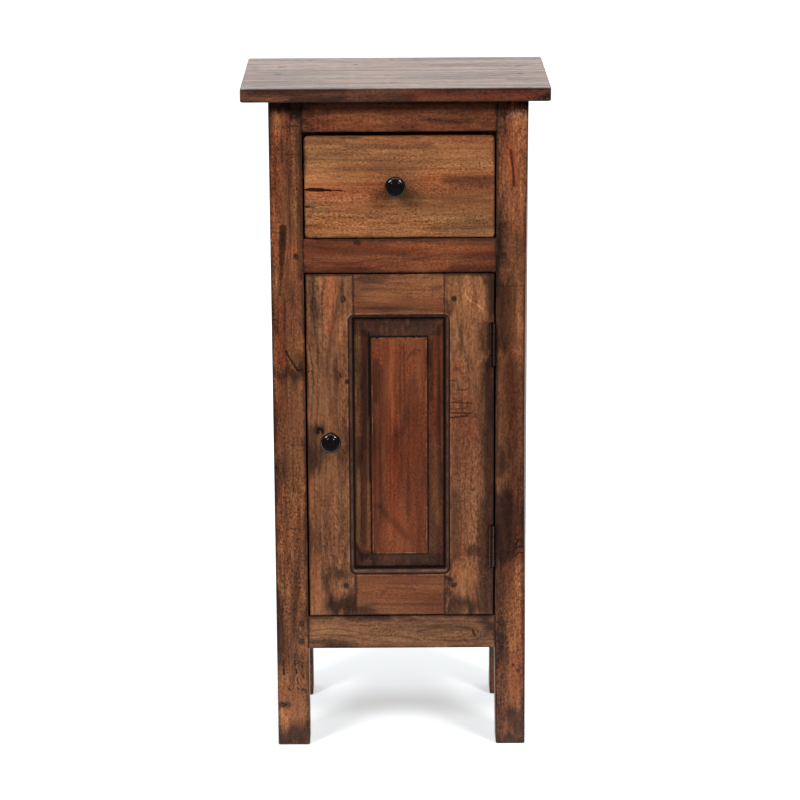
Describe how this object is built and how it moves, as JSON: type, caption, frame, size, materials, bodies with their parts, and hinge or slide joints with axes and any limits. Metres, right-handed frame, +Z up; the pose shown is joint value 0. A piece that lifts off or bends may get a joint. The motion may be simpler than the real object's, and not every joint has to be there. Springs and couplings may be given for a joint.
{
  "type": "storage side table with door",
  "caption": "Narrow free-standing wooden side table on square legs, with a drawer over a cupboard closed by a framed, raised-panel door.",
  "frame": {"origin": "bottom centre of the whole table's bounding box, on the floor under the middle of the top", "axes": "+Z up, +X to the right as seen from the front, the door and drawer face -Y"},
  "size_m": [0.352, 0.236, 0.8],
  "materials": {
    "wood_top": "waxed reclaimed hardwood, satin, worn",
    "wood_legs": "waxed reclaimed hardwood, dark stain in the arrises",
    "wood_rails": "waxed reclaimed hardwood, satin",
    "wood_panels": "waxed reclaimed hardwood, satin",
    "wood_inside": "unfinished hardwood",
    "wood_drawer_front": "waxed honey-brown hardwood, satin",
    "wood_door_frame": "waxed reclaimed hardwood, satin",
    "wood_door_panel": "waxed hardwood, dark stained border",
    "wood_pegs": "dark end grain",
    "black_knob": "gloss black lacquer",
    "hinge_iron": "dark browned steel",
    "nail_steel": "dark steel",
    "screw_steel": "zinc plated",
    "catch_plastic": "brown moulded",
    "catch_ferrite": "sintered ferrite",
    "strike_steel": "zinc plated"
  },
  "bodies": {
    "carcass": {"top_board_front": "wood_top", "top_board_middle": "wood_top", "top_board_back": "wood_top", "leg_front_left": "wood_legs", "leg_front_right": "wood_legs", "leg_back_left": "wood_legs", "leg_back_right": "wood_legs", "front_rail_bottom": "wood_rails", "front_rail_middle": "wood_rails", "front_rail_top": "wood_rails", "back_rail_bottom": "wood_rails", "back_rail_top": "wood_rails", "side_rail_bottom_left": "wood_rails", "side_rail_bottom_right": "wood_rails", "side_rail_top_left": "wood_rails", "side_rail_top_right": "wood_rails", "side_panel_left": "wood_panels", "side_panel_right": "wood_panels", "back_board_left": "wood_panels", "back_board_right": "wood_panels", "cabinet_floor": "wood_inside", "shelf": "wood_inside", "drawer_runner_left": "wood_inside", "drawer_runner_right": "wood_inside", "drawer_kicker_left": "wood_inside", "drawer_kicker_right": "wood_inside", "shelf_cleat_left": "wood_inside", "shelf_cleat_right": "wood_inside", "frame_pegs": "wood_pegs", "hinge_upper_frame_leaf": "hinge_iron", "hinge_lower_frame_leaf": "hinge_iron", "hinge_pins": "hinge_iron", "hinge_frame_screws": "hinge_iron", "top_nails": "nail_steel", "strip_nails": "nail_steel", "catch_screws": "screw_steel", "catch_housing": "catch_plastic", "catch_magnet": "catch_ferrite"},
    "door": {"door_stile_left": "wood_door_frame", "door_stile_right": "wood_door_frame", "door_rail_top": "wood_door_frame", "door_rail_bottom": "wood_door_frame", "door_panel": "wood_door_panel", "door_pegs": "wood_pegs", "door_knob": "black_knob", "door_knob_screw": "screw_steel", "hinge_upper_door_leaf": "hinge_iron", "hinge_lower_door_leaf": "hinge_iron", "hinge_door_screws": "hinge_iron", "catch_strike_plate": "strike_steel", "catch_strike_screw": "screw_steel"},
    "drawer": {"drawer_front": "wood_drawer_front", "drawer_side_left": "wood_inside", "drawer_side_right": "wood_inside", "drawer_back": "wood_inside", "drawer_bottom": "wood_inside", "drawer_nails": "nail_steel", "drawer_knob": "black_knob", "drawer_knob_screw": "screw_steel"}
  },
  "joints": [
    {"name": "door_hinge", "type": "hinge", "parent": "carcass", "child": "door", "pos_m": [0.1105, -0.0942, 0.3725], "axis": [0, 0, 1], "range_deg": [0, 180]},
    {"name": "drawer_slide", "type": "slide", "parent": "carcass", "child": "drawer", "axis": [0, -1, 0], "range_m": [0, 0.13]}
  ]
}
